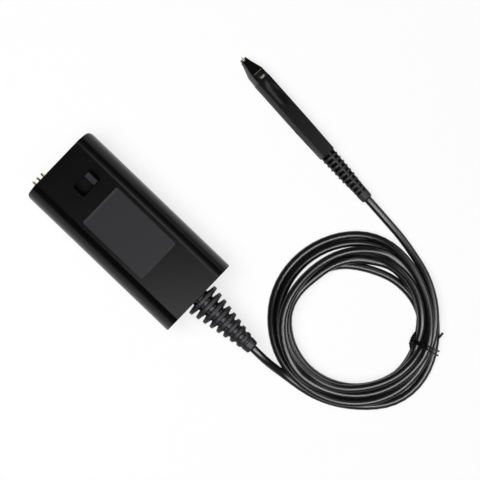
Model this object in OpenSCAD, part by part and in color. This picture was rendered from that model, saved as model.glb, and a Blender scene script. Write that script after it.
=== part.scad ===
// Active oscilloscope probe: interface pod, coiled lead and slim probe head.
// Millimetres. Origin at the centre of the pod's underside, +X towards the cable
// end of the pod, +Z up. Everything lies on the plane z = 0.

/* [Pod] */
// Length of the pod from the connector face to the cable end
pod_l = 85.4; // [84:0.1:90]
// Width of the pod at mid height
pod_w = 39.7; // [39.6:0.1:42]
// Height of the pod
pod_h = 25; // [24.8:0.1:26]
// Radius of the bulging sides
side_r = 14; // [13.5:0.1:15]
// Radius between a side and the top or underside
edge_r = 3; // [2:0.5:4]
// Width of the sunken top panel
panel_w = 25.1; // [24.6:0.1:25.4]
// Depth of the sunken top panel
panel_depth = 0.4; // [0.3:0.1:0.6]
// Wall thickness of the pod
wall = 2.2; // [2:0.1:2.3]
// Length of the front cap
cap_l = 7.8; // [7.5:0.1:8]
// Thickness of the front cap's face
face_t = 2.4; // [2.2:0.1:2.5]

/* [Label plate] */
// Length of the bare plate on the top panel
plate_l = 35.8; // [30:0.1:38]
// Width of the plate
plate_w = 21.6; // [20:0.1:23.6]
// Distance from the connector face to the plate
plate_from_front = 26.2; // [24:0.1:28]

/* [Lock lever] */
// Length of the slot along the pod
slot_l = 6.6; // [6.6:0.1:7.2]
// Length of the slot across the pod
slot_w = 11.2; // [11:0.1:12]
// Distance from the connector face to the middle of the slot
slot_from_front = 15.7; // [15.5:0.1:15.9]
// Angle of the lever from upright when it is parked
lever_park = 12; // [10:0.5:13]

/* [Coaxial connector] */
// Offset of the connector's axis across the pod
bnc_y = 3.1; // [2.8:0.05:3.2]
// Radius of the outer contact sleeve
sleeve_r = 4.05; // [4:0.01:4.1]
// Outer radius of the locking collar
collar_r = 7.2; // [7:0.1:7.3]

/* [Spring pins] */
// Pitch of the spring pins across the pod
pin_pitch = 2.54; // [2.4:0.01:2.6]
// Distance between the two rows of spring pins
row_gap = 2.6; // [2.54:0.01:2.8]
// Radius of a spring pin's plunger
plunger_r = 0.5; // [0.45:0.01:0.5]
// Length of plunger that stands out of the pod
plunger_out = 3; // [3:0.1:3.6]
// Travel of a plunger
plunger_travel = 1.4; // [1:0.1:1.4]

/* [Pod boot] */
// Offset of the cable's axis across the pod
boot_y = 0.6; // [0:0.05:2]
// Number of ribs on the pod boot
boot_ribs = 8; // [6:1:8]
// Pitch of the ribs
rib_pitch = 3.55; // [3.5:0.05:3.6]
// Radius of the largest rib
rib_r = 8.2; // [7.8:0.1:8.4]
// Length of the boot outside the pod
boot_l = 32.7; // [32.4:0.1:33.4]

/* [Probe head] */
// Where the tip of the head lies
head_tip = [-17, 90.45];
// Turn of the head on the table
head_yaw = -4.5; // [-5:0.1:0]
// Roll of the head onto the side of its keel
head_roll = -12; // [-14:0.5:-10]
// Length of the head to the end of its shells
head_l = 57; // [56:0.1:58]
// Half width where the shells meet the nose
head_front_w = 4.17; // [4:0.01:4.2]
// Half width under the fingertip
head_grip_w = 4.25; // [4.1:0.01:4.3]
// Half width at the cable end
head_rear_w = 3.8; // [3.7:0.01:3.9]
// Length of the nose piece
nose_l = 13; // [12.5:0.1:13.5]
// Length of the head's boot outside the shells
head_boot_l = 27; // [26:0.1:28]

/* [Cord] */
// Diameter of the cable
cord_d = 3.6; // [3.4:0.1:3.6]
// Middle of the coil
coil_at = [100, 40.2];
// Inner radius of the coil
coil_in = 26; // [24:0.5:28]
// Outer radius of the coil
coil_out = 40.2; // [39:0.1:41]
// Height of the coil
coil_h = 9.5; // [8:0.5:12]
// Direction of the twist tie from the middle of the coil
tie_angle = 23.8; // [15:0.1:35]
// Thickness of the twist tie
tie_t = 0.9; // [0.7:0.1:1.2]

/* [Hidden] */
$fn = 48;

// Route of the lead from the pod's boot down to the coil.
pod_route = [
    [75.4, 0.6, 12.5], [79, 0.5, 12.3], [82.5, 0.4, 11.2], [85.5, 0.5, 9.2],
    [88.5, 0.7, 6.6], [91.5, 1, 4.3], [94.5, 1.4, 2.6], [97.5, 2, 1.9]
];

// Route of the lead from the head's boot to the coil.
head_route = [
    [66.7, 83.9, 4.3], [70, 83.7, 4.1], [74, 83.4, 3.4], [78, 83.1, 2.5],
    [82, 82.8, 2], [86, 82.5, 1.8], [90, 82.1, 1.8], [93.5, 81.6, 1.9], [97, 80.9, 2.2]
];

black_plastic = "#17181a";
dark_rubber = "#1d1e20";
gold = "#c9a24a";
nickel = "#b9bcc0";
board_green = "#1f5a3c";

front_x = -pod_l / 2;
rear_x = pod_l / 2;
seam_x = front_x + cap_l;
mid_z = pod_h / 2;
panel_z = pod_h - panel_depth;
slot_x = front_x + slot_from_front;
slack = 0.05;
past = 1;

// Stations of the coaxial connector, measured from the connector face.
collar_x0 = front_x + 0.8;
collar_step_x = front_x + 8.2;
collar_x1 = front_x + 11.4;
hub_x0 = front_x + 8.6;
flange_x0 = front_x + 11.8;
plate_x0 = front_x + 13.8;
plate_x1 = plate_x0 + 1.5;
nut_x1 = plate_x1 + 2;
sleeve_x0 = front_x + 1.2;
hub_r = 6;
flange_r = 7.5;
tail_r = 5;
core_r = 2.4;
pin_r = 0.675;
groove_x = front_x + 9.8;
groove_l = 0.7;
shutter_r = 9.5;
shutter_l = slot_l + 1.2;
shutter_reach = 56;

// Circuit board inside the pod.
board_z = 8.9;
board_t = 1.6;
board_top = board_z + board_t;
board_x0 = nut_x1 + 0.5;
board_x1 = 34;
board_half_w = 15;
post_xs = [-18, 29];
post_y = 9.2;
post_r = 3;
spigot_r = 2;
screw_r = 1.2;
screw_head_r = 2.3;
screw_head_z = 3;
screw_top = 16;

// Spring pins.
pin_mid_y = -11;
pin_ys = [for (i = [-1:1]) pin_mid_y + i * pin_pitch];
barrel_r = 0.75;
barrel_bore = plunger_r + slack;
block_back = front_x + 11.2;
pin_board_x = front_x + 12.2;

// Probe head, in its own frame: x from the tip, z towards the flat top.
head_top = 4.2;
head_keel = 4.4;
head_z = head_keel * cos(head_roll);
head_wall = 1;
nose_face = 1.2;
ground_y = -0.95;
signal_y = 0.1;
key_y = 1.15;
key_r = 0.6;
head_board_z = 0.55;
head_board_t = 0.8;
lens_x = [8.8, 12.7];
lens_half_w = 2.3;
led_x = 11.9;
lens_floor = 2.7;
cable_r = cord_d / 2;

// ---- shared shapes ----

function arc(c, r, a0, a1, n) =
    [for (i = [0:n]) c + r * [cos(a0 + (a1 - a0) * i / n), sin(a0 + (a1 - a0) * i / n)]];

function mirrored(points) =
    concat(points, [for (i = [len(points) - 1:-1:0]) [-points[i][0], points[i][1]]]);

// One side of the pod's cross-section, from the underside to the top.
function pod_side(inset) =
    let (
        big = side_r - inset,
        small = max(edge_r - inset, 0.6),
        half_h = mid_z - inset,
        lean = asin((half_h - small) / (big - small)),
        c = [pod_w / 2 - side_r, mid_z],
        corner = (big - small) * [cos(lean), sin(lean)]
    )
    concat(
        arc([c[0] + corner[0], mid_z - corner[1]], small, -90, -lean, 4),
        arc(c, big, -lean, lean, 16),
        arc([c[0] + corner[0], mid_z + corner[1]], small, lean, 90, 4)
    );

module pod_outline(inset = 0) polygon(mirrored(pod_side(inset)));

// The cross-section is drawn across the pod and swept along it.
module along_x(x0, x1)
    translate([x0, 0, 0]) rotate([90, 0, 90]) linear_extrude(x1 - x0) children();

module sunken_panel(depth, half_w)
    translate([front_x - past, -half_w, pod_h - depth])
        cube([pod_l + 2 * past, 2 * half_w, depth + past]);

// Rounds the pod's ends in plan and in side view.
module rounded_ends(r_front, r_rear) {
    half_w = pod_w / 2 + past;
    translate([0, 0, -past]) linear_extrude(pod_h + 2 * past)
        end_profile(r_front, r_rear, pod_w / 2 + 0.01);
}

module end_profile(r_front, r_rear, half)
    polygon(concat(
        arc([front_x + r_front, -half + r_front], r_front, 180, 270, 6),
        arc([rear_x - r_rear, -half + r_rear], r_rear, 270, 360, 6),
        arc([rear_x - r_rear, half - r_rear], r_rear, 0, 90, 6),
        arc([front_x + r_front, half - r_front], r_front, 90, 180, 6)
    ));

module pod_solid()
    difference() {
        intersection() {
            along_x(front_x, rear_x) pod_outline();
            rounded_ends(2, 0.8);
            translate([0, pod_w, mid_z]) rotate([90, 0, 0])
                linear_extrude(2 * pod_w) end_profile(1, 0.5, mid_z);
        }
        sunken_panel(panel_depth, panel_w / 2);
    }

module pod_hollow(x0, x1)
    difference() {
        along_x(x0, x1) pod_outline(wall);
        sunken_panel(panel_depth + wall, pod_w);
    }

module slab(x0, x1, z0, z1, half_w = pod_w)
    translate([x0, -half_w, z0]) cube([x1 - x0, 2 * half_w, z1 - z0]);

module x_rod(r, x0, x1) translate([x0, 0, 0]) rotate([0, 90, 0]) cylinder(r = r, h = x1 - x0);

module x_ring(r_out, r_in, x0, x1)
    difference() {
        x_rod(r_out, x0, x1);
        x_rod(r_in, x0 - past, x1 + past);
    }

module at_bnc() translate([0, bnc_y, mid_z]) children();
module at_boot() translate([0, boot_y, mid_z]) children();
module at_head()
    translate([head_tip[0], head_tip[1], head_z]) rotate([0, 0, head_yaw])
        rotate([head_roll, 0, 0]) children();

module at_posts()
    for (x = post_xs, y = [-post_y, post_y]) translate([x, y, 0]) children();

module at_pins()
    for (y = pin_ys, row = [-1, 1]) translate([0, y, mid_z + row * row_gap / 2]) children();

// ---- pod: case ----

module case_upper() color(black_plastic) {
    difference() {
        intersection() {
            pod_solid();
            slab(seam_x, rear_x + past, mid_z, pod_h + past);
        }
        pod_hollow(seam_x - past, rear_x - wall);
        lever_slot();
        plate_pocket();
        at_boot() x_rod(boot_neck_r, rear_x - wall - past, rear_x + past);
    }
    difference() {
        at_posts() {
            translate([0, 0, board_top]) cylinder(r = post_r, h = panel_z - wall - board_top);
            translate([0, 0, board_z]) cylinder(r = spigot_r, h = board_t);
        }
        at_posts() translate([0, 0, board_z - past]) cylinder(r = screw_r, h = screw_top - board_z + past);
    }
}

module lever_slot()
    translate([slot_x, bnc_y, 0]) linear_extrude(pod_h + past)
        rounded_square(slot_l, slot_w, 1.2);

module rounded_square(l, w, r)
    polygon(concat(
        arc([-l / 2 + r, -w / 2 + r], r, 180, 270, 3),
        arc([l / 2 - r, -w / 2 + r], r, 270, 360, 3),
        arc([l / 2 - r, w / 2 - r], r, 0, 90, 3),
        arc([-l / 2 + r, w / 2 - r], r, 90, 180, 3)
    ));

module plate_pocket()
    translate([front_x + plate_from_front + plate_l / 2, 0, panel_z - 0.2])
        linear_extrude(past) rounded_square(plate_l + 0.2, plate_w + 0.2, 1);

module label_plate() color("#3a3b3e")
    translate([front_x + plate_from_front + plate_l / 2, 0, panel_z - 0.2])
        linear_extrude(0.3) rounded_square(plate_l, plate_w, 0.9);

module case_lower() color(black_plastic)
    difference() {
        union() {
            difference() {
                intersection() {
                    pod_solid();
                    slab(seam_x, rear_x + past, -past, mid_z);
                }
                pod_hollow(seam_x - past, rear_x - wall);
            }
            joint_lip();
            bracket_ribs();
            at_posts() translate([0, 0, wall / 2]) cylinder(r = post_r, h = board_z - wall / 2);
        }
        at_posts() {
            translate([0, 0, -past]) cylinder(r = screw_r + 0.1, h = board_z + 2 * past);
            translate([0, 0, -past]) cylinder(r = screw_head_r + 0.3, h = screw_head_z + past);
        }
        at_boot() x_rod(boot_neck_r, rear_x - wall - past, rear_x + past);
    }

// Lip rooted in the lower half that locates the upper half.
module joint_lip() {
    lip_strip(wall - 0.1, mid_z - 0.2);
    lip_strip(wall + slack, mid_z + 1.2);
}

module lip_strip(inset, top)
    intersection() {
        difference() {
            along_x(seam_x + 2.5, rear_x - wall - 0.3) pod_outline(inset);
            along_x(seam_x, rear_x) pod_outline(wall + 1);
        }
        slab(seam_x, rear_x, mid_z - 1.5, top);
    }

// Two ribs on the floor hold the connector bracket between them.
module bracket_ribs()
    for (x = [plate_x0 - 0.6, plate_x1])
        translate([x, -5, wall / 2]) cube([0.6, 14, 2.5]);

module front_cap() color(black_plastic) {
    difference() {
        union() {
            intersection() {
                pod_solid();
                slab(front_x - past, seam_x - 0.25, -past, pod_h + past);
            }
            difference() {
                along_x(seam_x - 0.3, seam_x) pod_outline(0.25);
                sunken_panel(panel_depth + 0.25, pod_w);
            }
        }
        pod_hollow(front_x + face_t, seam_x + past);
        at_bnc() x_rod(collar_r + 0.5, front_x - past, front_x + face_t + past);
        at_bnc() rotate([0, 90, 0]) translate([0, 0, front_x - 0.01])
            cylinder(r1 = collar_r + 1.1, r2 = collar_r + 0.5, h = 0.6);
        pin_window(slack);
    }
    difference() {
        union() {
            along_x(seam_x - 2, seam_x + 2) pod_outline(wall + slack);
            along_x(seam_x - 2, seam_x - 0.5) pod_outline(wall - 0.1);
        }
        along_x(seam_x - 3, seam_x + 3) pod_outline(wall + 0.9);
        sunken_panel(panel_depth + wall + slack, pod_w);
        cap_lip_top_hollow();
    }
    cap_lip_top();
}

// The lip's top strip follows the sunken panel.
module cap_lip_top_hollow() slab(seam_x - 3, seam_x + 3, panel_z - wall - 0.9, pod_h);
module cap_lip_top()
    intersection() {
        along_x(seam_x - 2, seam_x + 2) pod_outline(wall + slack);
        slab(seam_x - 2, seam_x + 2, panel_z - wall - 0.9, panel_z - wall - slack);
    }

module pin_window(gap)
    translate([front_x - past, pin_mid_y - 3.75 - gap, mid_z - 3.2 - gap])
        cube([face_t + 2 * past, 7.5 + 2 * gap, 6.4 + 2 * gap]);

module case_screws() color(nickel)
    at_posts()
        difference() {
            union() {
                translate([0, 0, screw_head_z - 2]) cylinder(r = screw_head_r, h = 2);
                translate([0, 0, screw_head_z]) cylinder(r = screw_r, h = screw_top - screw_head_z);
            }
            for (turn = [0, 90]) rotate([0, 0, turn])
                translate([-1.4, -0.3, 0]) cube([2.8, 0.6, screw_head_z - 1]);
        }

// ---- pod: lock and coaxial connector ----

module lock_lever() color("#3d3f42")
    at_bnc() rotate([-lever_park, 0, 0]) {
        x_ring(collar_r + 1.1, collar_r, front_x + 7.8, front_x + 11);
        translate([front_x + 10.2, -2.4, 8]) cube([slot_from_front + 3 - 10.2, 4.8, 1.2]);
        translate([slot_x - 2.6, -0.9, 9]) cube([5.2, 1.8, 3.2]);
        translate([slot_x - 2.8, -1.25, 12]) cube([5.6, 2.5, 0.6]);
        for (y = [-0.85, 0, 0.85]) translate([0, y, 12.55]) x_rod(0.3, slot_x - 2.8, slot_x + 2.8);
        for (x = [-2.8, 2.4]) translate([slot_x + x, -1.25, 12.5]) cube([0.4, 2.5, 0.4]);
        lever_shutter();
    }

// A curved shutter turns with the lever and keeps the slot closed.
module lever_shutter()
    translate([slot_x - shutter_l / 2, 0, 0]) rotate([0, 90, 0]) rotate([0, 0, 180 - shutter_reach])
        rotate_extrude(angle = 2 * shutter_reach) translate([shutter_r - 0.9, 0]) square([0.9, shutter_l]);

module bnc_collar() color(nickel)
    at_bnc() rotate([-lever_park, 0, 0])
        difference() {
            x_rod(collar_r, collar_x0, collar_x1);
            x_rod(4.95, collar_x0 - past, collar_x1 + past);
            x_rod(hub_r + slack, collar_step_x, collar_x1 + past);
            x_rod(hub_r + 0.6, groove_x - 0.1, groove_x + groove_l + 0.1);
            for (turn = [90, 270]) rotate([turn, 0, 0]) bayonet_slot();
        }

// An axial entry, then a run round the collar for the jack's stud.
module bayonet_slot() {
    translate([collar_x0 - past, -1.15, 4]) cube([3.9 + past, 2.3, 4]);
    translate([collar_x0 + 1.6, 0, 0]) rotate([0, 90, 0]) rotate([0, 0, 150])
        rotate_extrude(angle = 30) translate([4, 0]) square([4, 2.3]);
}

module collar_snap_ring() color("#8d9094")
    at_bnc()
        difference() {
            x_ring(hub_r + 0.5, hub_r - 0.6, groove_x, groove_x + groove_l);
            translate([groove_x - past, -1.5, -8]) cube([groove_l + 2 * past, 3, 8]);
        }

module collar_washer() color("#8d9094")
    at_bnc() x_ring(collar_r, hub_r + 0.1, collar_x1 + slack, flange_x0);

module bnc_body() color(nickel)
    at_bnc()
        difference() {
            union() {
                x_rod(sleeve_r, sleeve_x0, hub_x0 + past);
                x_rod(hub_r, hub_x0, flange_x0);
                x_rod(flange_r, flange_x0, plate_x0);
                x_rod(tail_r, plate_x0, nut_x1 + 0.3);
            }
            x_rod(3.5, sleeve_x0 - past, hub_x0);
            x_rod(core_r, hub_x0 - past, board_x0 + past);
            x_ring(hub_r + past, hub_r - 0.6, groove_x, groove_x + groove_l);
        }

module bnc_insulator() color("#e9e6dc")
    at_bnc()
        difference() {
            union() {
                x_rod(3.5, front_x + 4.7, hub_x0);
                x_rod(core_r, hub_x0, nut_x1 + 0.3);
            }
            x_rod(pin_r, front_x, board_x0 + past);
        }

module bnc_pin() color(gold)
    at_bnc() {
        x_rod(pin_r, front_x + 2.4, nut_x1 + 0.3);
        translate([front_x + 1.6, 0, 0]) rotate([0, 90, 0]) cylinder(r1 = 0.25, r2 = pin_r, h = 0.8);
        solder_leg(0.5, nut_x1 + 0.3, nut_x1 + 2.6);
    }

// A conductor that runs level and turns down onto the board.
module solder_leg(r, x0, x1) {
    x_rod(r, x0, x1);
    translate([x1 - r, 0, board_top - mid_z]) cylinder(r = r, h = mid_z - board_top);
}

module bnc_bracket() color("#9a9da1")
    at_bnc()
        difference() {
            union() {
                x_rod(flange_r, plate_x0, plate_x1);
                translate([plate_x0, -8.5, wall - mid_z]) cube([plate_x1 - plate_x0, 17, mid_z - wall]);
            }
            x_rod(tail_r, plate_x0 - past, plate_x1 + past);
        }

module bnc_nut() color(nickel)
    at_bnc()
        difference() {
            translate([plate_x1, 0, 0]) rotate([0, 90, 0]) cylinder(r = 6.9, h = nut_x1 - plate_x1, $fn = 6);
            x_rod(tail_r, plate_x1 - past, nut_x1 + past);
        }

// ---- pod: spring pins ----

module pin_block() color("#101112")
    difference() {
        union() {
            translate([front_x + 0.3, pin_mid_y - 3.75, mid_z - 3.2])
                cube([block_back - front_x - 0.3, 7.5, 6.4]);
            translate([front_x + face_t, pin_mid_y - 4.5, mid_z - 4]) cube([1.5, 9, 8]);
        }
        at_pins() x_rod(barrel_r, front_x - past, block_back + past);
    }

module pin_barrels() color(gold)
    at_pins()
        difference() {
            union() {
                x_rod(barrel_r, front_x - 0.4, block_back);
                x_rod(0.3, block_back, pin_board_x + 1.4);
            }
            x_rod(barrel_bore, front_x - past, front_x + 6.2);
        }

// Plungers are numbered from the pod's edge inwards, lower row first.
module spring_pin(i) color(gold)
    translate([0, pin_ys[floor((i - 1) / 2)], mid_z + ((i - 1) % 2 * 2 - 1) * row_gap / 2]) {
        x_rod(plunger_r, front_x - plunger_out + plunger_r, front_x + 6.1 - plunger_travel);
        translate([front_x - plunger_out + plunger_r, 0, 0]) sphere(plunger_r);
    }

module pin_board() color(board_green)
    difference() {
        translate([pin_board_x, pin_mid_y - 4.2, mid_z - 3.9]) cube([1, 8.4, 7.8]);
        at_pins() x_rod(0.3, pin_board_x - past, pin_board_x + 2);
    }

// ---- pod: electronics ----

module main_board() color(board_green)
    difference() {
        union() {
            slab(board_x0, board_x1, board_z, board_top, board_half_w);
            translate([pin_board_x + 1, pin_mid_y - 3.2, board_z])
                cube([board_x0 - pin_board_x, 7, board_t]);
        }
        at_posts() translate([0, 0, board_z - past]) cylinder(r = spigot_r + 0.1, h = board_t + 2 * past);
    }

module shield_can() color("#a9acb0")
    difference() {
        translate([-12, -11, board_top]) cube([26, 22, 4.5]);
        translate([-11.6, -10.6, board_top - past]) cube([25.2, 21.2, 4.1 + past]);
    }

module board_parts() color("#26272a") {
    for (x = [-8, 2], y = [-4, 5]) translate([x, y - 2.5, board_top]) cube([6, 5, 1.2]);
    for (y = [-6, 8]) translate([19, y, board_top]) cylinder(r = 2, h = 3);
    translate([16.5, -13, board_top]) cube([5, 4, 2]);
    translate([-22.5, -4, board_top]) cube([3, 5, 1]);
}

module cable_clamp() color("#9a9da1")
    difference() {
        translate([24, boot_y - 3.2, board_top]) cube([7, 6.4, mid_z + 2.6 - board_top]);
        at_boot() x_rod(cable_r, 23, 32);
    }

boot_neck_r = 5;
boot_flange_r = 6.4;
rib_first = 2.2;
rib_step = 0.6;
boot_waist = [3.25, rib_first + (boot_ribs - 1) * rib_pitch + 1.6];
boot_collar_r = 3.45;
boot_web_lean = 7.3;

// Half profile of one rib: a wide root, leaning flanks and a flat rim with round corners.
function rib_profile(x, root, rim) =
    concat(
        [[root, x - 1.5]],
        arc([rim - 0.4, x - 0.5], 0.4, -80, 0, 3),
        arc([rim - 0.4, x + 0.5], 0.4, 0, 80, 3),
        [[root, x + 1.5]]
    );

function boot_root(i) = 4.25 - i * 0.14;

module pod_boot() color(dark_rubber)
    at_boot() {
        translate([rear_x, 0, 0]) rotate([0, 90, 0]) rotate_extrude()
            polygon(concat(
                [[cable_r, 0], [boot_root(0), 0]],
                [for (i = [0:boot_ribs - 1])
                    each rib_profile(rib_first + i * rib_pitch, boot_root(i), rib_r - i * rib_step)],
                [boot_waist, boot_waist + [0, 0.4], [boot_collar_r, boot_waist[1] + 0.8]],
                arc([2.3, boot_l - 0.9], 0.9, 0, 90, 4),
                [[cable_r, boot_l]]
            ));
        difference() {
            pod_boot_webs();
            x_rod(cable_r, rear_x - past, rear_x + boot_l);
        }
        x_ring(boot_neck_r, cable_r, rear_x - wall, rear_x);
        x_ring(boot_flange_r, cable_r, rear_x - wall - 1.8, rear_x - wall);
    }

// Round-topped webs join the ribs along the top and the underside.
module pod_boot_webs()
    for (side = [-1, 1])
        translate([rear_x, 0, side * 4.6]) rotate([0, 90 + side * boot_web_lean, 0])
            cylinder(r1 = 2.5, r2 = 2.3, h = boot_waist[1]);

module pod_cable_core() color("#0e0e10")
    at_boot() {
        x_rod(cable_r, 26, rear_x + boot_l);
        mirror([1, 0, 0]) solder_leg(0.5, -26, -22);
    }

// ---- probe head ----

// Flat top, leaning sides and a shallow keel underneath.
function head_section(w, top, keel) =
    let (chine = 0.62 * w)
    [
        [0.72 * w, top], [0.78 * w, 0.95 * top], [w, 0.15 * top], [w, -0.3 * keel],
        [chine, -keel + chine * tan(-head_roll)], [0, -keel],
        [-chine, -keel + chine * tan(-head_roll)], [-w, -0.3 * keel], [-w, 0.15 * top],
        [-0.78 * w, 0.95 * top], [-0.72 * w, top]
    ];

module section_at(x, w, top, keel)
    translate([x, 0, 0]) rotate([90, 0, 90]) linear_extrude(0.01) polygon(head_section(w, top, keel));

// Half width along the shells.
function head_w(x) =
    lookup(x, [[nose_l, head_front_w], [20, head_grip_w], [41, head_grip_w - 0.13], [head_l, head_rear_w]]);

module head_shell_solid(inset)
    hull()
        for (x = [nose_l - (inset > 0 ? past : 0), 20, 41, head_l - 0.01 - 1.2 * inset])
            section_at(x, head_w(x) - inset, head_top - inset, head_keel - inset);

// A long shallow scoop for the fingertip.
module finger_scoop()
    translate([21.5, 0, head_top + 60.5]) rotate([90, 0, 0])
        rotate_extrude($fn = 180) translate([55, 0]) circle(6);

module head_upper() color(black_plastic)
    difference() {
        head_shell_solid(0);
        head_shell_solid(head_wall);
        translate([0, -5, -10]) cube([60, 10, 10]);
        finger_scoop();
        x_rod(head_neck_r, head_l - 3, head_l + past);
    }

module head_lower() color(black_plastic) {
    difference() {
        head_shell_solid(0);
        head_shell_solid(head_wall);
        translate([0, -5, 0]) cube([60, 10, 10]);
        x_rod(head_neck_r, head_l - 3, head_l + past);
        for (x = [41, 47], side = [-1, 1])
            translate([x - 0.8, side * head_w(x) - 0.5, -0.9]) cube([1.6, 1, 1]);
    }
    for (x = [18, 32, 46]) translate([x, -2.2, -2.9]) cube([1, 4.4, 2.9 + head_board_z]);
}

module nose_solid() {
    hull() {
        section_at(nose_face, 1.9, 1.4, 1.5);
        section_at(2.6, 2.1, 1.9, 1.9);
    }
    hull() {
        section_at(2.6, 2.1, 1.9, 1.9);
        section_at(8.4, 3.85, 3.9, 3.9);
    }
    hull() {
        section_at(8.4, 3.85, 3.9, 3.9);
        section_at(nose_l - 0.01, head_front_w - 0.12, head_top - 0.1, head_keel - 0.05);
    }
}

module lens_block(gap, floor_z)
    translate([lens_x[0] + gap, -lens_half_w + gap, floor_z])
        cube([lens_x[1] - lens_x[0] - 2 * gap, 2 * (lens_half_w - gap), 3]);

module nose() color(black_plastic) {
    difference() {
        nose_solid();
        translate([0, ground_y, 0]) x_rod(0.55, 0, 6.5);
        translate([0, signal_y, 0]) x_rod(0.4, 0, 6.5);
        translate([6.5, -2.4, -1.2]) cube([8, 4.8, 1.2 + head_board_z + head_board_t + 0.05]);
        translate([lens_x[0] + 0.5, 0.3 - lens_half_w, 0])
            cube([lens_x[1] - lens_x[0] - 0.8, 2 * lens_half_w - 0.6, 5]);
        lens_block(0, lens_floor);
    }
    translate([0, key_y, 0]) {
        x_rod(key_r, 0.6, nose_face + 0.4);
        translate([0.6, 0, 0]) sphere(key_r);
    }
}

module led_lens() color("#3b2c20")
    intersection() {
        nose_solid();
        lens_block(0.05, lens_floor);
    }

module status_leds() color("white")
    translate([led_x, 0, head_board_z + head_board_t]) {
        translate([-0.5, 1, 0]) cube([1, 1, 1]);
        translate([-0.45, -0.05, 0]) cube([0.9, 0.6, 1]);
    }

module head_board() color(board_green)
    translate([6.6, -2.3, head_board_z]) cube([43.4, 4.6, head_board_t]);

module head_chips() color("#26272a")
    translate([0, 0, head_board_z + head_board_t]) {
        translate([15, -1.6, 0]) cube([4, 3.2, 0.9]);
        translate([24, -1.4, 0]) cube([3, 2.8, 0.8]);
        translate([34, -1.2, 0]) cube([5, 2.4, 0.8]);
    }

module socket_tube(r_out, r_in, x0, x1, depth)
    difference() {
        x_rod(r_out, x0, x1);
        x_rod(r_in, x0 - past, x0 + depth);
    }

module signal_socket() color(gold)
    translate([0, signal_y, 0]) socket_tube(0.4, 0.25, nose_face, 8, 5);

module ground_socket() color(gold)
    translate([0, ground_y, 0]) socket_tube(0.55, 0.41, 0, 8, 6.5);

module signal_tip() color("#d8dadd")
    translate([0, signal_y, 0]) {
        x_rod(0.225, -0.3, nose_face + 4.6);
        translate([-0.9, 0, 0]) rotate([0, 90, 0]) cylinder(r1 = 0.08, r2 = 0.225, h = 0.6);
    }

head_ribs = 9;
head_rib_pitch = 2.4;
head_rib_first = head_l + 2.1;
head_neck_r = 2.15;
head_collar_x = head_l + head_boot_l - 4;
head_web_t = 0.9;
function head_rib_r(i) = lookup(i, [[0, 3.8], [5, 3.4], [7, 2.9], [8, 2.8]]);

module head_boot() color(dark_rubber)
    difference() {
        union() {
            x_rod(2.4, head_l - 3, head_l - 1.2);
            x_rod(head_neck_r, head_l - 1.2, head_l);
            x_rod(head_neck_r, head_l, head_collar_x);
            for (i = [0:head_ribs - 1])
                x_rod(head_rib_r(i), head_rib_first + i * head_rib_pitch - 0.48,
                      head_rib_first + i * head_rib_pitch + 0.48);
            head_boot_webs();
            translate([head_collar_x, 0, 0]) rotate([0, 90, 0]) cylinder(r1 = 2.8, r2 = 2.65, h = 3.4);
            translate([head_collar_x + 3.4, 0, 0]) rotate([0, 90, 0]) cylinder(r1 = 2.65, r2 = 2.1, h = 0.6);
        }
        x_rod(cable_r, head_l - 4, head_l + head_boot_l + past);
    }

// Four webs join the rings and leave windows between them.
module head_boot_webs()
    intersection() {
        translate([head_l, 0, 0]) rotate([0, 90, 0])
            cylinder(r1 = 3.55, r2 = 2.7, h = head_collar_x - head_l);
        for (turn = [0, 90]) rotate([turn, 0, 0])
            translate([head_l, -head_web_t / 2, -4]) cube([head_boot_l - 3.9, head_web_t, 8]);
    }

module head_cable_core() color("#0e0e10") {
    x_rod(cable_r, 51, head_l + head_boot_l);
    x_rod(0.5, 49, 51);
}

// ---- cord ----

function unit(v) = v / norm(v);
function heading(path, i) =
    unit(path[min(i + 1, len(path) - 1)] - path[max(i - 1, 0)]);

module tube(path, d, sides = 8) {
    rings = [for (i = [0:len(path) - 1])
        let (t = heading(path, i), side = unit(cross(t, [0, 0, 1])), up = cross(side, t))
        [for (k = [0:sides - 1])
            path[i] + d / 2 * (cos(k * 360 / sides) * side + sin(k * 360 / sides) * up)]];
    n = len(path);
    polyhedron(
        [for (ring = rings) each ring],
        concat(
            [[for (k = [0:sides - 1]) k]],
            [for (i = [0:n - 2], k = [0:sides - 1])
                [i * sides + k, (i + 1) * sides + k,
                 (i + 1) * sides + (k + 1) % sides, i * sides + (k + 1) % sides]],
            [[for (k = [sides - 1:-1:0]) (n - 1) * sides + k]]
        )
    );
}

module pod_lead() color("#0e0e10") tube(pod_route, cord_d);
module head_lead() color("#0e0e10") tube(head_route, cord_d);

module cord_coil() color("#121214")
    difference() {
        translate([coil_at[0], coil_at[1], 0]) rotate_extrude($fn = 96)
            polygon([
                [coil_in + 2, 0], [coil_out - 1.2, 0], [coil_out, 1.2], [coil_out, coil_h - 4],
                [coil_out - 3, coil_h - 1], [coil_out - 6, coil_h], [coil_in + 5, coil_h],
                [coil_in, coil_h - 4], [coil_in, 2]
            ]);
        at_tie() translate([coil_in - past, -tie_half_w, -past])
            cube([coil_out - coil_in + 2 * past, 2 * tie_half_w, tie_t + past]);
    }

tie_half_w = 1.1;

module at_tie() translate([coil_at[0], coil_at[1], 0]) rotate([0, 0, tie_angle]) children();

// A band round the whole bundle, with its twisted knot on the inside.
module twist_tie() color("#0b0b0c")
    at_tie() {
        difference() {
            translate([coil_in - tie_t, -tie_half_w, 0])
                cube([coil_out - coil_in + 2 * tie_t, 2 * tie_half_w, coil_h + tie_t]);
            translate([coil_in, -tie_half_w - past, tie_t])
                cube([coil_out - coil_in, 2 * (tie_half_w + past), coil_h - tie_t]);
        }
        translate([coil_in - tie_t - 2.2, -1.6, 1]) cube([2.4, 3.8, 3]);
    }

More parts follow.
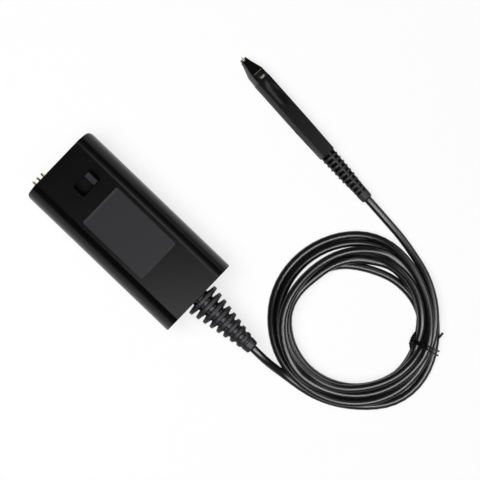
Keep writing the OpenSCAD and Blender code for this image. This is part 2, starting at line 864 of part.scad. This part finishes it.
case_upper();
case_lower();
front_cap();
label_plate();
case_screws();
lock_lever();
bnc_collar();
collar_snap_ring();
collar_washer();
bnc_body();
bnc_insulator();
bnc_pin();
bnc_bracket();
bnc_nut();
pin_block();
pin_barrels();
spring_pin(1);  // spring_pin_1
spring_pin(2);  // spring_pin_2
spring_pin(3);  // spring_pin_3
spring_pin(4);  // spring_pin_4
spring_pin(5);  // spring_pin_5
spring_pin(6);  // spring_pin_6
pin_board();
main_board();
shield_can();
board_parts();
cable_clamp();
pod_boot();
pod_cable_core();
at_head() head_upper();
at_head() head_lower();
at_head() nose();
at_head() led_lens();
at_head() status_leds();
at_head() head_board();
at_head() head_chips();
at_head() signal_socket();
at_head() ground_socket();
at_head() signal_tip();
at_head() head_boot();
at_head() head_cable_core();
pod_lead();
cord_coil();
head_lead();
twist_tie();
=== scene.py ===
"""Looks of an active oscilloscope probe: connector pod, coiled cable and slim probe head."""

import math

import bpy
import numpy as np
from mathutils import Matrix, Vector


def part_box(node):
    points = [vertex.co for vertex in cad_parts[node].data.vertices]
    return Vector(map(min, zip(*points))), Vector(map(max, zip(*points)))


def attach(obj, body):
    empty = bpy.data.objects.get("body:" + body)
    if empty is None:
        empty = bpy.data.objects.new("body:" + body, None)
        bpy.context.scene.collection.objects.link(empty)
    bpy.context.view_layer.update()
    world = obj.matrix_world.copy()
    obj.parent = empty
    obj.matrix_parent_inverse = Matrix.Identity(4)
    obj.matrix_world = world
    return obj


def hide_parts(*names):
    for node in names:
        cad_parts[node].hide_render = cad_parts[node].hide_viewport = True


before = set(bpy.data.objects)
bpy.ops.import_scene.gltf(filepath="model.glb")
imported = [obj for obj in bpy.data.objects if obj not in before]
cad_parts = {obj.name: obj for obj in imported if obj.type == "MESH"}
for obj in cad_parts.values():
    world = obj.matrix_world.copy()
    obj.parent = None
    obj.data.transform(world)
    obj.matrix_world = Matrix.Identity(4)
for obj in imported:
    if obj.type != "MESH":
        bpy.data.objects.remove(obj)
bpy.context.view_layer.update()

MM = 0.001

# The camera's level direction, as an angle in the plan. The coil's angles and the lamps'
# bearings count from it.
ACROSS = 43.8
# Middle of the table top, straight under the camera, in metres.
TABLE_MIDDLE = (0.03816, 0.03119)
CAMERA_HEIGHT = 0.72

# In millimetres and degrees: the axis of the pod's boot, where the probe head's front end
# lies, and the way the head points.
POD_AXIS = (0, 0.6, 12.5)
HEAD_FRONT = (-17, 90.45, 4.3)
HEAD_YAW = -4.5

# The cable, in millimetres, and its whole length in metres.
CORD_D = 3.6
CORD_R = CORD_D / 2
COIL_CENTRE = (100, 40.2)
COIL_START = 225
COIL_END = 2566
STEPS_A_TURN = 60
POD_ROUTE = [
    (75.4, 0.6, 12.5), (79, 0.5, 12.3), (82.5, 0.4, 11.2), (85.5, 0.5, 9.2),
    (88.5, 0.7, 6.6), (91.5, 1, 4.3), (94.5, 1.4, 2.6), (97.5, 2, 1.9),
]
HEAD_ROUTE = [
    (66.7, 83.9, 4.3), (70, 83.7, 4.1), (74, 83.4, 3.4), (78, 83.1, 2.5),
    (82, 82.8, 2), (86, 82.5, 1.8), (90, 82.1, 1.8), (93.5, 81.6, 1.9), (97, 80.9, 2.2),
]
# How each turn of the coil lies: where it takes over from the turn before and over how
# many degrees, its radius, and its bulges as direction, width in degrees and depth.
TURNS = [
    (0, 1, 37.2, [(222, 8, 1.2), (248, 20, -0.6), (293, 16, 2.3), (316, 24, 3.6)]),
    (385, 90, 35.0, [(440, 30, 0.5), (510, 35, -0.7)]),
    (700, 110, 29.6, [(790, 36, -5.3), (815, 18, -0.5), (845, 26, -1.6), (1035, 32, 2.2)]),
    (1040, 80, 29.8, [(1048, 34, 2.0), (1134, 17, 1.1), (1192, 42, -2.9), (1260, 18, 0.5)]),
    (1380, 80, 31.6, [(1405, 20, 0.6), (1446, 34, -1.5), (1570, 38, -3.3), (1720, 32, -1.9)]),
    (1785, 100, 33.4, [(1930, 44, -3.9), (2160, 45, 0.9)]),
    (2207, 56, 37.0, [
        (2240, 24, 2.1), (2290, 40, 0.6), (2340, 16, -0.5), (2405, 30, -0.7),
        (2505, 32, -1.0), (2572, 20, 2.8),
    ]),
]

# The twist tie, in millimetres: its wire bare, where it is cut and where it is twisted.
TIE_R = 0.42
TIE_END_R = TIE_R + 0.1
TIE_KNOT_R = TIE_R + 0.26

# Black painted into the boots' recesses as shade.
RECESS_SHADE_BLACK = "020202"
WHITE = (1, 1, 1, 1)


# ---- shaders ----


class Socket:
    """An output of a shader node. Arithmetic on it adds Math nodes."""

    def __init__(self, shader, link):
        self.shader = shader
        self.link = link

    def _math(self, operation, *values):
        return self.shader.node("ShaderNodeMath", {"operation": operation}, dict(enumerate(values)))

    def __add__(self, other):
        return self._math("ADD", self, other)

    __radd__ = __add__

    def __sub__(self, other):
        return self._math("SUBTRACT", self, other)

    def __rsub__(self, other):
        return self._math("SUBTRACT", other, self)

    def __mul__(self, other):
        return self._math("MULTIPLY", self, other)

    __rmul__ = __mul__

    def __gt__(self, other):
        return self._math("GREATER_THAN", self, other)

    def __lt__(self, other):
        return self._math("LESS_THAN", self, other)

    def fraction(self):
        return self._math("FRACT", self)

    def root(self):
        return self._math("SQRT", self)

    def clamped(self):
        return self._math("MAXIMUM", self._math("MINIMUM", self, 1.0), 0.0)


class Shader:
    """A material with one Principled shader, built from nodes."""

    def __init__(self, name):
        self.material = bpy.data.materials.new(name)
        self.material.use_nodes = True
        self.tree = self.material.node_tree
        self.surface = self.tree.nodes["Principled BSDF"]
        self.place = self.node("ShaderNodeTexCoord", {}, {}, "Object")

    def node(self, kind, settings, sockets, output=0):
        made = self.tree.nodes.new(kind)
        for name, value in settings.items():
            setattr(made, name, value)
        for name, value in sockets.items():
            self.feed(made.inputs[name], value)
        return Socket(self, made.outputs[output])

    def feed(self, socket, value):
        if isinstance(value, Socket):
            self.tree.links.new(value.link, socket)
        else:
            socket.default_value = value

    def set(self, **values):
        for name, value in values.items():
            self.feed(self.surface.inputs[name.replace("_", " ")], value)

    def axis(self, name):
        """Place along X, Y or Z, in metres."""
        return self.node("ShaderNodeSeparateXYZ", {}, {0: self.place}, name)

    def stretched(self, x, y, z):
        """Place on the piece, scaled along each axis."""
        return self.node(
            "ShaderNodeVectorMath", {"operation": "MULTIPLY"}, {0: self.place, 1: (x, y, z)}
        )

    def noise(self, scale, detail=2.0, where=None):
        return self.node(
            "ShaderNodeTexNoise",
            {},
            {"Vector": where or self.place, "Scale": scale, "Detail": detail},
        )

    def mix(self, factor, a, b):
        return self.node(
            "ShaderNodeMix", {"data_type": "RGBA"}, {0: factor, 6: a, 7: b}, 2
        )

    def bump(self, height, depth, strength=1.0):
        self.set(
            Normal=self.node(
                "ShaderNodeBump", {}, {"Height": height, "Distance": depth, "Strength": strength}
            )
        )


def linear(code, level=1.0):
    """A colour written as six hex digits, as linear light."""
    parts = [int(code[i : i + 2], 16) / 255 for i in (0, 2, 4)]
    light = [p / 12.92 if p < 0.04045 else ((p + 0.055) / 1.055) ** 2.4 for p in parts]
    return (*[level * p for p in light], 1)


def from_axis(s, start, yaw):
    """Place along a level axis, beside it and above it, in millimetres."""
    turn = math.radians(yaw)
    x, y, z = ((s.axis(name) - c * MM) * 1000 for name, c in zip("XYZ", start))
    along = x * math.cos(turn) + y * math.sin(turn)
    beside = y * math.cos(turn) - x * math.sin(turn)
    return along, beside, z


def moulded(name, code, roughness, gloss=0.5, grain=2600, depth=0.00002):
    """Moulded plastic with a fine spark-eroded grain and slight handling marks."""
    s = Shader(name)
    s.set(Specular_IOR_Level=gloss)
    flow = s.noise(45, 3)
    fine = s.noise(grain, 3)
    rubbed = (s.noise(140, 4) - 0.45) * 1.6
    s.set(
        Base_Color=s.mix(flow, linear(code, 0.8), linear(code, 1.25)),
        Roughness=roughness + (fine - 0.5) * 0.08 + rubbed.clamped() * 0.04,
    )
    s.bump(fine, depth, 0.25)
    return s.material


def rubber(name, code, shade_mask, gloss=0.4):
    """Matt moulded elastomer that holds a little dust, dull in its recesses, with painted shade in
    them.
    """
    s = Shader(name)
    dust = ((s.noise(900, 5) - 0.56) * 5).clamped()
    outside = s.mix(dust * 0.25, linear(code), linear("3a3b3e"))
    # Inside the mask the rubber is dull and its colour goes to black: painted shade in the
    # recesses.
    painted_shade = shade_mask(s)
    s.set(
        Base_Color=s.mix(painted_shade, outside, linear(RECESS_SHADE_BLACK)),
        Roughness=0.42 + dust * 0.18 + painted_shade * 0.4,
        Specular_IOR_Level=gloss,
    )
    s.bump(s.noise(3800, 2), 0.00002, 0.5)
    return s.material


def below_cone(start, yaw, near, far):
    """Mask of what lies inside a cone round a level axis, all in millimetres.

    Near and far are a distance along the axis and the radius there.
    """
    taper = (far[1] - near[1]) / (far[0] - near[0])

    def mask(s):
        along, beside, above = from_axis(s, start, yaw)
        reach = (beside * beside + above * above).root()
        return (((along - near[0]) * taper + near[1] - reach) * 5).clamped()

    return mask


def jacket(name, code):
    """Extruded cable jacket: glossy, with long faint ripples and dust."""
    s = Shader(name)
    ripple = s.noise(260, 2)
    specks = ((s.noise(2200, 4) - 0.62) * 6).clamped()
    s.set(
        Base_Color=s.mix(specks * 0.2, linear(code), linear("3a3a40")),
        Roughness=0.3 + (ripple - 0.5) * 0.06 + specks * 0.15,
        Specular_IOR_Level=0.36,
    )
    s.bump(ripple, 0.0001, 0.1)
    return s.material


def turned_metal(name, code, roughness, rings=(9000, 300, 300)):
    """Plated metal with the fine rings of turning and small stains."""
    s = Shader(name)
    lines = s.noise(1, 2, s.stretched(*rings))
    stain = s.noise(320, 4)
    s.set(
        Metallic=1.0,
        Base_Color=s.mix(stain, linear(code, 0.86), linear(code)),
        Roughness=roughness + (lines - 0.5) * 0.14 + (stain - 0.5) * 0.08,
    )
    s.bump(lines, 0.00001)
    return s.material


def circuit_board(name):
    """Green solder mask over tracks, with pads showing through."""
    s = Shader(name)
    x = s.axis("X") * 620
    y = s.axis("Y") * 620
    bend = s.noise(90, 0)
    across = (x + bend * 3).fraction()
    along = (y + bend * 3).fraction()
    tracks = ((across < 0.4) + (along < 0.4) * (bend > 0.5)).clamped()
    s.set(
        Base_Color=s.mix(tracks * 0.6, linear("123c28"), linear("2b7650")),
        Roughness=0.32 + tracks * 0.08,
    )
    s.bump(tracks, 0.00003)
    return s.material


def chips(name):
    """Black epoxy packages and their tinned ends."""
    s = Shader(name)
    s.set(
        Base_Color=s.mix(s.noise(700, 3), linear("17171a"), linear("26272b")),
        Roughness=0.55 + (s.noise(2500, 2) - 0.5) * 0.2,
    )
    s.bump(s.noise(3000, 2), 0.00001)
    return s.material


def lever_plastic(name):
    """Grey knob on a dull black shutter, in one moulding."""
    s = Shader(name)
    _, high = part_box("lock_lever")
    knob = s.axis("Z") > high.z - 1.1 * MM
    scuffs = s.noise(900, 3)
    grey = s.mix(scuffs, linear("2c2c2f"), linear("3a3a3e"))
    s.set(
        Base_Color=s.mix(knob, linear("040405"), grey),
        Roughness=0.6 - knob * 0.2 + (scuffs - 0.5) * 0.16,
        Specular_IOR_Level=0.06,
    )
    s.bump(s.noise(2600, 3), 0.00002, 0.5)
    return s.material


def ptfe(name, code):
    """Machined insulator, slightly waxy."""
    s = Shader(name)
    s.set(
        Base_Color=s.mix(s.noise(500, 3), linear(code, 0.9), linear(code)),
        Roughness=0.38 + (s.noise(1500, 2) - 0.5) * 0.1,
        Subsurface_Weight=0.15,
        Subsurface_Radius=(0.002, 0.002, 0.002),
    )
    return s.material


def smoked(name):
    """Clear smoked window over the lamps, with a pale band across its front edge: a painted
    highlight, where the window is also rougher and less clear.
    """
    s = Shader(name)
    along, _, _ = from_axis(s, HEAD_FRONT, HEAD_YAW)
    off = (along - 9) * 3.5
    # Pale band across the front edge: painted highlight, with more roughness and less transparency
    # there.
    edge_highlight_band = (1.2 - off * off).clamped()
    smoke = s.mix(s.noise(300, 2), linear("1c1511"), linear("281e19"))
    s.set(
        Base_Color=s.mix(edge_highlight_band, smoke, linear("3a3a3c")),
        Roughness=0.12 + (s.noise(900, 2) - 0.5) * 0.04 + edge_highlight_band * 0.4,
        Alpha=0.5 + edge_highlight_band * 0.45,
    )
    return s.material


def lamp_white(name):
    """White status lamp, lit."""
    s = Shader(name)
    s.set(
        Base_Color=s.mix(s.noise(2500, 1), linear("f4f4f0"), linear("ffffff")),
        Roughness=0.4 + (s.noise(2000, 1) - 0.5) * 0.1,
        Emission_Color=linear("ffffff"),
        Emission_Strength=0.7,
    )
    return s.material


def bare_plate(name):
    """Dark film plate without print: a paler front border, fine speckle and wipe marks."""
    s = Shader(name)
    low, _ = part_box("label_plate")
    border = s.axis("X") < low.x + 1.2 * MM
    speckle = s.noise(1500, 3)
    wiped = s.noise(120, 3)
    film = s.mix(speckle * 0.7 + wiped * 0.3, linear("18181a"), linear("232326"))
    s.set(
        Base_Color=s.mix(border * 0.5, film, linear("333337")),
        Roughness=0.45 + (wiped - 0.5) * 0.14,
        Specular_IOR_Level=0.12,
    )
    s.bump(speckle, 0.00001)
    return s.material


# ---- geometry helpers ----


def tube(name, points, radius, closed=False, sides=4):
    """A round wire or cable along points in millimetres."""
    curve = bpy.data.curves.new(name, "CURVE")
    curve.dimensions = "3D"
    curve.bevel_depth = radius * MM
    curve.bevel_resolution = sides
    curve.use_fill_caps = True
    spline = curve.splines.new("POLY")
    spline.points.add(len(points) - 1)
    for vertex, point in zip(spline.points, points):
        vertex.co = (*[c * MM for c in point], 1)
    spline.use_cyclic_u = closed
    spline.use_smooth = True
    piece = bpy.data.objects.new(name, curve)
    bpy.context.scene.collection.objects.link(piece)
    return piece


def finished(piece, material):
    """Gives a new piece its finish and lets it ride on the root."""
    piece.data.materials.append(material)
    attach(piece, "root")
    return piece


def smoothstep(t):
    t = np.clip(t, 0, 1)
    return t * t * (3 - 2 * t)


# ---- the cable ----


def coil_radius(angle):
    """Radius of the coil at an angle that goes on counting through its turns."""
    radius = 0
    before = 0
    for start, width, base, bulges in TURNS:
        turn = base + sum(d * np.exp(-(((angle - a) / w) ** 2)) for a, w, d in bulges)
        share = smoothstep((angle - start) / width + 0.5)
        radius = radius + share * (turn - before)
        before = turn
    return radius


def settled_coil():
    """Angle, radius and height of the cable's centre line in the coil.

    The turns sink and draw to their own radius, push each other apart and end at rest.
    """
    angle = np.arange(COIL_START, COIL_END, 360 / STEPS_A_TURN)
    wanted = coil_radius(angle)
    radius = wanted.copy()
    # Each turn starts higher than the one before, and the last end comes down to the table.
    rise, end = 2.6, 12
    height = CORD_R + rise * np.maximum(0, (angle - COIL_START) / 360 - 0.2)
    height[-end:] = np.linspace(height[-end], CORD_R + 0.4, end)
    rounds, sink, draw, stiffness = 700, 0.03, 0.15, 0.25
    for _ in range(rounds):
        height = height - sink
        radius = radius + draw * (wanted - radius)
        for gap in range(STEPS_A_TURN, len(angle), STEPS_A_TURN):
            across = radius[gap:] - radius[:-gap]
            up = height[gap:] - height[:-gap]
            span = np.hypot(across, up)
            push = np.maximum(0, CORD_D - span) * 0.5
            span = np.maximum(span, 0.01)
            radius[gap:] += push * across / span
            radius[:-gap] -= push * across / span
            height[gap:] += push * up / span
            height[:-gap] -= push * up / span
        height = np.maximum(height, CORD_R)
        for values in (radius, height):
            middle = (values[:-2] + values[2:]) / 2
            values[1:-1] += stiffness * (middle - values[1:-1])
        height[0] = CORD_R + 0.05
        height[-1] = CORD_R + 0.45
    return angle, radius, height


def on_coil(angle, radius, height):
    """A place given by its direction from the coil's centre."""
    turn = math.radians(angle + ACROSS)
    return (
        COIL_CENTRE[0] + radius * math.cos(turn),
        COIL_CENTRE[1] + radius * math.sin(turn),
        height,
    )


def cable(jacket_finish, coil):
    """The whole cable as one tube: out of the pod, round the coil and into the head."""
    points = POD_ROUTE[:-1] + [on_coil(*p) for p in zip(*coil)] + HEAD_ROUTE[-2::-1]
    smooth = np.array(points)
    for _ in range(4):
        smooth[1:-1] += 0.3 * ((smooth[:-2] + smooth[2:]) / 2 - smooth[1:-1])
    smooth[:, 2] = np.maximum(smooth[:, 2], CORD_R)
    cord = tube("cable", smooth.tolist(), CORD_R, sides=6)
    finished(cord, jacket_finish)
    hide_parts("pod_lead", "cord_coil", "head_lead")
    return cord


def strands_at(coil, at):
    """Centres of the cable's turns where they pass one direction, as radius and height."""
    angle, radius, height = coil
    turns = [at + 360 * n for n in range(9) if angle[0] <= at + 360 * n <= angle[-1]]
    return [(np.interp(t, angle, radius), np.interp(t, angle, height)) for t in turns]


def hull(points):
    """Outline of the points, counter-clockwise."""
    points = sorted(set(points))

    def half(run):
        side = []
        for p in run:
            while len(side) > 1:
                ax, ay = side[-1][0] - side[-2][0], side[-1][1] - side[-2][1]
                bx, by = p[0] - side[-1][0], p[1] - side[-1][1]
                if ax * by - ay * bx > 0:
                    break
                side.pop()
            side.append(p)
        return side[:-1]

    return half(points) + half(points[::-1])


def tie_loop(name, coil, at, lean):
    """One wire of the tie, drawn tight round the turns."""
    ring = []
    for radius, height in strands_at(coil, at):
        for i in range(16):
            turn = i * math.tau / 16
            reach = CORD_R + TIE_R
            ring.append(
                (
                    round(radius + reach * math.cos(turn), 3),
                    round(max(height + reach * math.sin(turn), TIE_R), 3),
                )
            )
    outline = hull(ring)
    middle = sum(r for r, _ in outline) / len(outline)
    return tube(
        name, [on_coil(at + lean * (r - middle), r, z) for r, z in outline], TIE_R, closed=True
    )


def twisted(name, path, radius, pitch):
    """Two tie wires twisted round each other along a path of angle, radius and height."""
    path = np.array(path, float)
    stations = range(len(path))
    along = np.linspace(0, len(path) - 1, 56)
    centre = np.array([on_coil(*[np.interp(a, stations, c) for c in path.T]) for a in along])
    for _ in range(6):
        centre[1:-1] += 0.5 * ((centre[:-2] + centre[2:]) / 2 - centre[1:-1])
    tangent = np.gradient(centre, axis=0)
    tangent /= np.linalg.norm(tangent, axis=1)[:, None]
    side = np.cross(tangent, (0, 0, 1))
    side /= np.linalg.norm(side, axis=1)[:, None]
    up = np.cross(side, tangent)
    length = np.concatenate([[0], np.cumsum(np.linalg.norm(np.diff(centre, axis=0), axis=1))])
    wires = []
    for k in (0, 1):
        turn = length / pitch * math.tau + k * math.pi
        wire = centre + radius * (side * np.cos(turn)[:, None] + up * np.sin(turn)[:, None])
        wires.append(tube(f"{name}_{k + 1}", wire.tolist(), TIE_KNOT_R, sides=3))
    return wires


def twist_tie(tie_finish, coil):
    """Two wires drawn tight round the turns, with their twisted ends on the inner side."""
    pieces = [
        tie_loop("tie_loop_1", coil, 341.6, -0.155),
        tie_loop("tie_loop_2", coil, 339.6, -0.245),
        *twisted(
            "tie_knot",
            [
                (333, 29.7, 4.6), (337, 28.1, 5.8), (341, 27.6, 6.6),
                (345, 27.6, 6.4), (348.5, 28.3, 5.4), (352.5, 29.6, 4.2),
            ],
            0.55,
            2.6,
        ),
        *twisted(
            "tie_knot_under",
            [
                (335, 29.1, 3.4), (338.5, 27.8, 3.2), (343, 27.7, 3.2),
                (347, 28.3, 3.0), (350, 29.2, 2.4),
            ],
            0.55,
            2.3,
        ),
        *twisted(
            "tie_knot_core",
            [(336.5, 29.0, 4.6), (340, 28.6, 5.0), (345, 28.6, 4.8), (349, 29.2, 4.2)],
            0.5,
            2.9,
        ),
        tube(
            "tie_end",
            [on_coil(*p) for p in ((347.3, 38.0, 3.4), (349.5, 39.1, 3.9), (352.4, 40.3, 3.6))],
            TIE_END_R,
            sides=3,
        ),
    ]
    for piece in pieces:
        finished(piece, tie_finish)
    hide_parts("twist_tie")
    return pieces


# ---- CAD pieces ----


def dress(nodes, material, bevel=0.12):
    """Gives CAD pieces their finish, soft edges and smooth shading."""
    for name in nodes:
        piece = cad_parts[name]
        if not piece.material_slots:
            piece.data.materials.append(material)
        for slot in piece.material_slots:
            slot.material = material
        for attribute in ("custom_normal", "sharp_edge", "sharp_face"):
            if attribute in piece.data.attributes:
                piece.data.attributes.remove(piece.data.attributes[attribute])
        piece.data.polygons.foreach_set("use_smooth", [True] * len(piece.data.polygons))
        weld = piece.modifiers.new("weld", "WELD")
        weld.merge_threshold = 1e-6
        flat = piece.modifiers.new("flat", "DECIMATE")
        flat.decimate_type = "DISSOLVE"
        flat.angle_limit = math.radians(1.5)
        if bevel:
            soft = piece.modifiers.new("soft", "BEVEL")
            soft.width = bevel * MM
            soft.segments = 2
            soft.limit_method = "ANGLE"
            soft.angle_limit = math.radians(32)
        piece.modifiers.new("normals", "WEIGHTED_NORMAL")


def dress_all():
    """Every CAD piece that shows gets its finish."""
    pod_plastic = moulded("pod_plastic", "070708", 0.2, 0.16)
    head_plastic = moulded("head_plastic", "09090a", 0.24, 0.16)
    nickel = turned_metal("nickel_plate", "b9bcc0", 0.22)
    steel = turned_metal("plated_steel", "9da0a4", 0.3, (300, 300, 6000))
    gold = turned_metal("gold_plate", "f2dfb2", 0.4)
    board = circuit_board("circuit_board")
    dress(["case_upper", "case_lower", "front_cap"], pod_plastic)
    dress(["head_upper", "head_lower"], head_plastic)
    dress(["nose"], moulded("nose_plastic", "09090a", 0.22, 0.4))
    dress(["label_plate"], bare_plate("bare_plate"), 0.06)
    dress(["lock_lever"], lever_plastic("lever_plastic"), 0.08)
    dress(["pin_block", "cable_clamp"], moulded("black_insulator", "141516", 0.5, 0.4), 0.08)
    insulator = ptfe("white_insulator", "e9e6dc")
    dress(["bnc_insulator", "pod_cable_core", "head_cable_core"], insulator, 0.05)
    dress(["bnc_collar", "bnc_body", "bnc_nut", "signal_socket"], nickel, 0.08)
    dress(["case_screws", "bnc_bracket", "shield_can"], steel, 0.06)
    dress(["collar_snap_ring", "collar_washer"], steel, 0.06)
    dress(["bnc_pin", "pin_barrels"], gold, 0.03)
    dress(["signal_tip"], turned_metal("tip_plate", "8c897c", 0.34), 0.03)
    # The ground socket gets a darker copy of the gold plate: painted shade.
    dress(["ground_socket"], turned_metal("shaded_gold_plate", "6e5a36", 0.3), 0.03)
    dress([f"spring_pin_{i}" for i in range(1, 7)], gold, 0.03)
    dress(["main_board", "pin_board", "head_board"], board, 0.04)
    dress(["board_parts", "head_chips"], chips("chip_epoxy"), 0.04)
    # These masks mark the boots' gaps and windows, where the rubber gets painted shade.
    pod_gap_shade = below_cone(POD_AXIS, 0, (43, 5), (62, 3.2))
    dress(["pod_boot"], rubber("pod_boot_rubber", "252528", pod_gap_shade, 0.2), 0.15)
    head_window_shade = below_cone(HEAD_FRONT, HEAD_YAW, (57, 3.2), (80, 2.45))
    dress(["head_boot"], rubber("head_boot_rubber", "313133", head_window_shade, 0.1), 0.1)
    dress(["led_lens"], smoked("smoked_window"), 0.05)
    dress(["status_leds"], lamp_white("lamp_white"), 0.02)


# ---- studio ----


def studio_point(right, up, height):
    """A place in the studio, in metres from the middle of the table top."""
    turn = math.radians(ACROSS)
    return Vector(
        (
            TABLE_MIDDLE[0] + right * math.cos(turn) - up * math.sin(turn),
            TABLE_MIDDLE[1] + right * math.sin(turn) + up * math.cos(turn),
            height,
        )
    )


def soft_box(name, bearing, tilt, distance, size, power, finish_only=True):
    """Lamp aimed at the table's middle, by its bearing and its tilt from overhead.

    A finish-only lamp shows in gloss, and any other one lights colours.
    """
    light = bpy.data.lights.new(name, "AREA")
    light.shape = "SQUARE"
    light.size = size
    light.energy = power
    lamp = bpy.data.objects.new(name, light)
    turn, lean = math.radians(bearing), math.radians(tilt)
    place = studio_point(
        distance * math.sin(lean) * math.cos(turn),
        distance * math.sin(lean) * math.sin(turn),
        distance * math.cos(lean),
    )
    lamp.location = place
    lamp.rotation_euler = (studio_point(0, 0, 0) - place).to_track_quat("-Z", "Y").to_euler()
    lamp.visible_diffuse = not finish_only
    lamp.visible_glossy = finish_only
    bpy.context.scene.collection.objects.link(lamp)


def table_top():
    """Pale table. Seen directly or in a reflection it is white, and it keeps shadows."""
    mesh = bpy.data.meshes.new("table_top")
    reach = 2.5
    drop = 0.02 * MM
    corners = [
        (TABLE_MIDDLE[0] + reach * x, TABLE_MIDDLE[1] + reach * y, -drop)
        for x, y in ((-1, -1), (1, -1), (1, 1), (-1, 1))
    ]
    mesh.from_pydata(corners, [], [(0, 1, 2, 3)])
    top = bpy.data.objects.new("table_top", mesh)
    bpy.context.scene.collection.objects.link(top)
    s = Shader("table_white")
    s.set(Base_Color=linear("fafafa"), Roughness=0.9)
    seen = s.node("ShaderNodeLightPath", {}, {}, "Is Camera Ray")
    for ray in ("Is Glossy Ray", "Is Transmission Ray"):
        seen = seen + s.node("ShaderNodeLightPath", {}, {}, ray)
    glow = s.node("ShaderNodeEmission", {}, {"Color": WHITE, "Strength": 1.0})
    mixed = s.node("ShaderNodeMixShader", {}, {0: seen.clamped() * 0.75, 2: glow})
    s.tree.links.new(s.surface.outputs[0], mixed.link.node.inputs[1])
    s.tree.links.new(mixed.link, s.tree.nodes["Material Output"].inputs["Surface"])
    mesh.materials.append(s.material)


def camera_overhead():
    lens = bpy.data.cameras.new("camera")
    lens.lens = 120
    lens.sensor_width = 36
    lens.clip_start = 0.01
    camera = bpy.data.objects.new("camera", lens)
    camera.location = studio_point(0, 0, CAMERA_HEIGHT)
    camera.rotation_euler = (0, 0, math.radians(ACROSS))
    bpy.context.scene.collection.objects.link(camera)
    bpy.context.scene.camera = camera


def studio():
    """White table, one lamp for colours and six for gloss, and the camera overhead."""
    scene = bpy.context.scene
    scene.view_settings.view_transform = "Standard"
    world = bpy.data.worlds.new("studio")
    world.use_nodes = True
    sky = world.node_tree.nodes["Background"].inputs
    sky["Color"].default_value = WHITE
    sky["Strength"].default_value = 0.03
    scene.world = world
    table_top()
    soft_box("fill_box", 190, 14, 1.24, 0.9, 17.5, finish_only=False)
    for name, bearing, tilt, power in (
        ("near_box", -90, 15, 2.3),
        ("near_low_box", -90, 30, 2.7),
        ("key_box", -50, 28, 5.5),
        ("right_box", -20, 36, 5),
        ("right_far_box", 20, 42, 3),
        ("far_box", 46, 54, 1.3),
    ):
        soft_box(name, bearing, tilt, 0.9, 0.35, power)
    camera_overhead()


studio()
coil = settled_coil()
cord = cable(jacket("cable_jacket", "0c0c0e"), coil)
tie = twist_tie(moulded("tie_plastic", "030303", 0.45, 0.12, 1800, 0.00004), coil)
dress_all()
